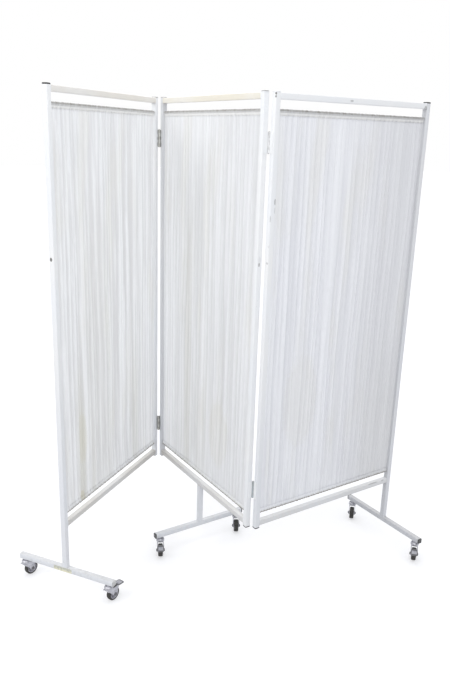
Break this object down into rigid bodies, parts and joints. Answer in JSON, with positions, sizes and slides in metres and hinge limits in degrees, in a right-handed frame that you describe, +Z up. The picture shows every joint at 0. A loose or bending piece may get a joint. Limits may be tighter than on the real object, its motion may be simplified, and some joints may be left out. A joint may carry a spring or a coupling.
{
  "type": "folding privacy screen",
  "caption": "Folding floor-standing privacy screen: hinged square-tube panels with gathered curtains on rods, each on a crossbar foot with swivel castors.",
  "frame": {"origin": "on the floor, under the middle of the box round the whole screen as it stands in the picture", "axes": "+Z up, +X along the middle panel from the left wing's hinges to the right wing's hinges, +Y towards the far ends of the feet"},
  "size_m": [0.9448, 1.4104, 1.7408],
  "materials": {
    "frame_paint": "gloss white paint, scuffed and chipped",
    "rod_steel": "dull drawn steel",
    "curtain_cloth": "off-white woven polyester, gathered",
    "hinge_steel": "grey steel with worn white paint",
    "castor_zinc": "bright zinc plate",
    "plug_plastic": "dark grey moulded plastic",
    "wheel_rubber": "dark grey tread on a grey moulded hub"
  },
  "bodies": {
    "middle_panel": {"middle_frame": "frame_paint", "middle_top_rod": "rod_steel", "middle_bottom_rod": "rod_steel", "middle_curtain": "curtain_cloth", "middle_left_post_cap": "plug_plastic", "middle_left_post_plug": "plug_plastic", "middle_right_post_cap": "plug_plastic", "middle_right_post_plug": "plug_plastic", "middle_foot_near_plug": "plug_plastic", "middle_near_castor_mount": "castor_zinc", "middle_foot_far_plug": "plug_plastic", "middle_far_castor_mount": "castor_zinc", "left_bottom_hinge_long_leaf": "hinge_steel", "left_bottom_hinge_pin": "hinge_steel", "left_top_hinge_long_leaf": "hinge_steel", "left_top_hinge_pin": "hinge_steel", "right_bottom_hinge_long_leaf": "hinge_steel", "right_bottom_hinge_pin": "hinge_steel", "right_top_hinge_long_leaf": "hinge_steel", "right_top_hinge_pin": "hinge_steel"},
    "left_wing": {"left_frame": "frame_paint", "left_top_rod": "rod_steel", "left_bottom_rod": "rod_steel", "left_curtain": "curtain_cloth", "left_left_post_cap": "plug_plastic", "left_right_post_cap": "plug_plastic", "left_right_post_plug": "plug_plastic", "left_foot_near_plug": "plug_plastic", "left_near_castor_mount": "castor_zinc", "left_far_castor_mount": "castor_zinc", "left_bottom_hinge_short_leaf": "hinge_steel", "left_top_hinge_short_leaf": "hinge_steel"},
    "right_wing": {"right_frame": "frame_paint", "right_top_rod": "rod_steel", "right_bottom_rod": "rod_steel", "right_curtain": "curtain_cloth", "right_left_post_cap": "plug_plastic", "right_left_post_plug": "plug_plastic", "right_right_post_cap": "plug_plastic", "right_foot_near_plug": "plug_plastic", "right_near_castor_mount": "castor_zinc", "right_foot_far_plug": "plug_plastic", "right_far_castor_mount": "castor_zinc", "right_bottom_hinge_short_leaf": "hinge_steel", "right_top_hinge_short_leaf": "hinge_steel"},
    "left_near_swivel": {"left_near_castor_fork": "castor_zinc"},
    "left_near_wheel": {"left_near_castor_wheel": "wheel_rubber"},
    "left_near_pedal": {"left_near_brake_pedal": "castor_zinc"},
    "left_far_swivel": {"left_far_castor_fork": "castor_zinc"},
    "left_far_wheel": {"left_far_castor_wheel": "wheel_rubber"},
    "middle_near_swivel": {"middle_near_castor_fork": "castor_zinc"},
    "middle_near_wheel": {"middle_near_castor_wheel": "wheel_rubber"},
    "middle_near_pedal": {"middle_near_brake_pedal": "castor_zinc"},
    "middle_far_swivel": {"middle_far_castor_fork": "castor_zinc"},
    "middle_far_wheel": {"middle_far_castor_wheel": "wheel_rubber"},
    "right_near_swivel": {"right_near_castor_fork": "castor_zinc"},
    "right_near_wheel": {"right_near_castor_wheel": "wheel_rubber"},
    "right_near_pedal": {"right_near_brake_pedal": "castor_zinc"},
    "right_far_swivel": {"right_far_castor_fork": "castor_zinc"},
    "right_far_wheel": {"right_far_castor_wheel": "wheel_rubber"}
  },
  "joints": [
    {"name": "left_fold", "type": "hinge", "parent": "middle_panel", "child": "left_wing", "pos_m": [-0.45546, -0.01981, 0], "axis": [0, 0, 1], "range_deg": [-124.6, 55.4]},
    {"name": "right_fold", "type": "hinge", "parent": "middle_panel", "child": "right_wing", "pos_m": [0.23154, 0.00709, 0], "axis": [0, 0, 1], "range_deg": [-90.6, 89.4]},
    {"name": "left_near_swivel", "type": "hinge", "parent": "left_wing", "child": "left_near_swivel", "pos_m": [0.06521, -0.48126, 0], "axis": [0, 0, 1], "continuous": true},
    {"name": "left_near_roll", "type": "hinge", "parent": "left_near_swivel", "child": "left_near_wheel", "pos_m": [0.0574, -0.46285, 0.02479], "axis": [-0.9205, -0.3907, 0], "continuous": true},
    {"name": "left_near_brake", "type": "hinge", "parent": "left_near_swivel", "child": "left_near_pedal", "pos_m": [0.05232, -0.45089, 0.0516], "axis": [0.9205, 0.3907, 0], "range_deg": [0, 20]},
    {"name": "left_far_swivel", "type": "hinge", "parent": "left_wing", "child": "left_far_swivel", "pos_m": [-0.23112, -0.68569, 0], "axis": [0, 0, 1], "continuous": true},
    {"name": "left_far_roll", "type": "hinge", "parent": "left_far_swivel", "child": "left_far_wheel", "pos_m": [-0.23796, -0.66689, 0.02479], "axis": [-0.9397, -0.342, 0], "continuous": true},
    {"name": "middle_near_swivel", "type": "hinge", "parent": "middle_panel", "child": "middle_near_swivel", "pos_m": [-0.11196, -0.18636, 0], "axis": [0, 0, 1], "continuous": true},
    {"name": "middle_near_roll", "type": "hinge", "parent": "middle_near_swivel", "child": "middle_near_wheel", "pos_m": [-0.09383, -0.19481, 0.02479], "axis": [0.4226, 0.9063, 0], "continuous": true},
    {"name": "middle_near_brake", "type": "hinge", "parent": "middle_near_swivel", "child": "middle_near_pedal", "pos_m": [-0.08205, -0.20031, 0.0516], "axis": [-0.4226, -0.9063, 0], "range_deg": [0, 20]},
    {"name": "middle_far_swivel", "type": "hinge", "parent": "middle_panel", "child": "middle_far_swivel", "pos_m": [-0.11196, 0.17364, 0], "axis": [0, 0, 1], "continuous": true},
    {"name": "middle_far_roll", "type": "hinge", "parent": "middle_far_swivel", "child": "middle_far_wheel", "pos_m": [-0.09464, 0.16364, 0.02479], "axis": [0.5, 0.866, 0], "continuous": true},
    {"name": "right_near_swivel", "type": "hinge", "parent": "right_wing", "child": "right_near_swivel", "pos_m": [0.41791, 0.68458, 0], "axis": [0, 0, 1], "continuous": true},
    {"name": "right_near_roll", "type": "hinge", "parent": "right_near_swivel", "child": "right_near_wheel", "pos_m": [0.43129, 0.66972, 0.02479], "axis": [0.7431, 0.6691, 0], "continuous": true},
    {"name": "right_near_brake", "type": "hinge", "parent": "right_near_swivel", "child": "right_near_pedal", "pos_m": [0.43999, 0.66006, 0.0516], "axis": [-0.7431, -0.6691, 0], "range_deg": [0, 20]},
    {"name": "right_far_swivel", "type": "hinge", "parent": "right_wing", "child": "right_far_swivel", "pos_m": [0.05793, 0.68081, 0], "axis": [0, 0, 1], "continuous": true},
    {"name": "right_far_roll", "type": "hinge", "parent": "right_far_swivel", "child": "right_far_wheel", "pos_m": [0.07207, 0.66667, 0.02479], "axis": [0.7071, 0.7071, 0], "continuous": true}
  ]
}
